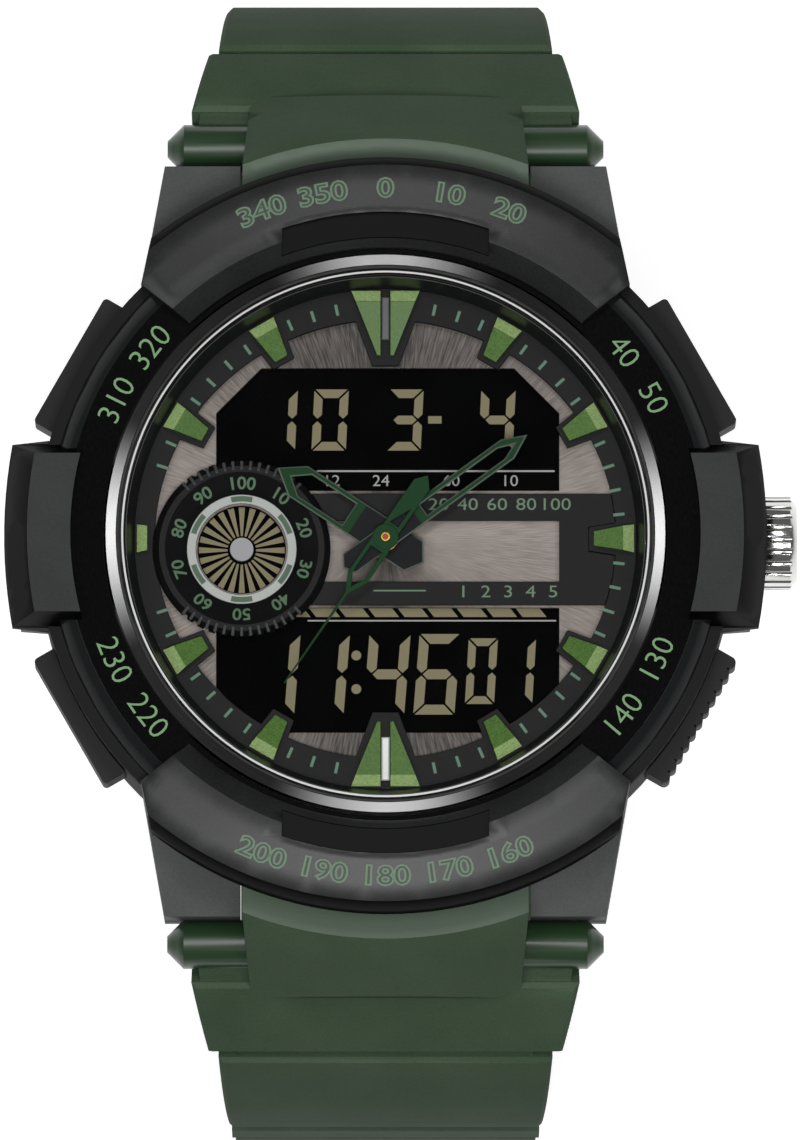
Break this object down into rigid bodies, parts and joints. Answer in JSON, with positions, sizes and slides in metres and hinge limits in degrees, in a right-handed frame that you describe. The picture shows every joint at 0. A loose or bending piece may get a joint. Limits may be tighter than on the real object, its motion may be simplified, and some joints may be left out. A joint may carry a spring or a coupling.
{
  "type": "ana-digi wristwatch",
  "caption": "Sports wristwatch with hands over a digital display, guarded round case, push buttons, crown and resin buckle strap.",
  "frame": {"origin": "centre of the outer face of the case back, on the axis of the hands", "axes": "+Z the way the dial faces, +Y to 12 o'clock, +X to the crown at 3 o'clock"},
  "size_m": [0.0529, 0.0758, 0.0741],
  "materials": {
    "case_resin": "fine matte moulded resin",
    "gloss_black": "polished black",
    "steel": "brushed",
    "polished_steel": "polished",
    "glass": "clear mineral glass",
    "black_rubber": "soft black seal",
    "strap_resin": "dark green satin polyurethane",
    "dial_metal": "taupe brushed plate",
    "dial_black": "matte black",
    "marker_green": "green lacquer",
    "hand_green": "green lacquer",
    "display": "dark display glass",
    "board": "green circuit board",
    "copper": "enamelled copper wire",
    "brass": "plain brass",
    "white_plastic": "milky light guide",
    "grey_plastic": "module plastic"
  },
  "bodies": {
    "watch_head": {"mid_case": "case_resin", "case_back": "steel", "case_back_screws": "polished_steel", "case_back_gasket": "black_rubber", "gloss_ring": "gloss_black", "crystal_ring": "steel", "crystal_gasket": "black_rubber", "crystal": "glass", "guard_12": "case_resin", "guard_6": "case_resin", "guard_3": "case_resin", "guard_9": "case_resin", "pusher_seals": "black_rubber", "crown_tube": "steel", "crown_seal": "black_rubber", "dial_plate": "dial_metal", "chapter_ring": "dial_black", "hour_markers": "marker_green", "flange_ring": "dial_black", "dial_bracket": "dial_black", "subdial_ring": "dial_black", "subdial_trim": "steel", "subdial_cap": "steel", "module_frame": "grey_plastic", "circuit_board": "board", "battery": "polished_steel", "battery_holder": "grey_plastic", "battery_clip": "steel", "buzzer": "brass", "backlight_panel": "white_plastic", "lcd_panel": "display", "lcd_connectors": "black_rubber", "motor_coils": "copper", "motor_cores": "steel", "spring_bars": "steel", "start_spring": "steel", "reset_spring": "steel", "light_spring": "steel", "mode_spring": "steel"},
    "seconds": {"second_hand": "hand_green", "second_arbor": "steel"},
    "minutes": {"minute_hand": "hand_green", "cannon_pinion": "brass"},
    "motion_wheel": {"minute_wheel": "brass"},
    "hours": {"hour_hand": "hand_green", "hour_wheel": "brass"},
    "crown_slider": {"setting_lever": "steel"},
    "crown_shaft": {"crown": "polished_steel", "crown_stem": "steel"},
    "start_button": {"start_pusher": "gloss_black"},
    "reset_button": {"reset_pusher": "gloss_black"},
    "light_button": {"light_pusher": "gloss_black"},
    "mode_button": {"mode_pusher": "gloss_black"},
    "long_half": {"strap_long": "strap_resin"},
    "short_half": {"strap_short": "strap_resin", "keeper_fixed": "strap_resin"},
    "keeper_loop": {"keeper_sliding": "strap_resin"},
    "buckle": {"buckle_frame": "steel", "buckle_bar": "steel"},
    "tongue": {"buckle_tongue": "steel"}
  },
  "joints": [
    {"name": "second_spin", "type": "hinge", "parent": "watch_head", "child": "seconds", "pos_m": [0, 0, 0.012], "axis": [0, 0, -1], "continuous": true},
    {"name": "minute_spin", "type": "hinge", "parent": "watch_head", "child": "minutes", "pos_m": [0, 0, 0.0115], "axis": [0, 0, -1], "continuous": true},
    {"name": "motion_wheel_spin", "type": "hinge", "parent": "watch_head", "child": "motion_wheel", "pos_m": [-0.0016, 0.00277, 0.006], "axis": [0, 0, -1], "continuous": true},
    {"name": "hour_spin", "type": "hinge", "parent": "watch_head", "child": "hours", "pos_m": [0, 0, 0.011], "axis": [0, 0, -1], "continuous": true},
    {"name": "crown_pull", "type": "slide", "parent": "watch_head", "child": "crown_slider", "axis": [1, 0, 0], "range_m": [0, 0.0015]},
    {"name": "crown_turn", "type": "hinge", "parent": "crown_slider", "child": "crown_shaft", "pos_m": [0.0265, 0, 0.0067], "axis": [1, 0, 0], "continuous": true},
    {"name": "start_press", "type": "slide", "parent": "watch_head", "child": "start_button", "axis": [-0.8669, -0.4985, 0], "range_m": [0, 0.0009], "stiffness_N_per_m": 900, "springref_m": -0.001, "deforming": ["start_spring"]},
    {"name": "reset_press", "type": "slide", "parent": "watch_head", "child": "reset_button", "axis": [-0.8669, 0.4985, 0], "range_m": [0, 0.0009], "stiffness_N_per_m": 900, "springref_m": -0.001, "deforming": ["reset_spring"]},
    {"name": "light_press", "type": "slide", "parent": "watch_head", "child": "light_button", "axis": [0.8669, -0.4985, 0], "range_m": [0, 0.0009], "stiffness_N_per_m": 900, "springref_m": -0.001, "deforming": ["light_spring"]},
    {"name": "mode_press", "type": "slide", "parent": "watch_head", "child": "mode_button", "axis": [0.8669, 0.4985, 0], "range_m": [0, 0.0009], "stiffness_N_per_m": 900, "springref_m": -0.001, "deforming": ["mode_spring"]},
    {"name": "long_half_hinge", "type": "hinge", "parent": "watch_head", "child": "long_half", "pos_m": [0, -0.0267, 0.0042], "axis": [-1, 0, 0], "range_deg": [0, 30]},
    {"name": "short_half_hinge", "type": "hinge", "parent": "watch_head", "child": "short_half", "pos_m": [0, 0.0267, 0.0042], "axis": [1, 0, 0], "range_deg": [0, 12]},
    {"name": "keeper_slide", "type": "hinge", "parent": "short_half", "child": "keeper_loop", "pos_m": [0, 0.014, -0.01401], "axis": [1, 0, 0], "range_deg": [-10, 10]},
    {"name": "buckle_hinge", "type": "hinge", "parent": "short_half", "child": "buckle", "pos_m": [0, 0.00604, -0.03795], "axis": [1, 0, 0], "range_deg": [-15, 20]},
    {"name": "tongue_hinge", "type": "hinge", "parent": "buckle", "child": "tongue", "pos_m": [0, 0.00604, -0.03795], "axis": [1, 0, 0], "range_deg": [0, 40]}
  ],
  "couplings": [
    {"joint": "minute_spin", "follows": "second_spin", "ratio": 0.016667},
    {"joint": "motion_wheel_spin", "follows": "second_spin", "ratio": -0.0055556},
    {"joint": "hour_spin", "follows": "second_spin", "ratio": 0.0013889}
  ]
}
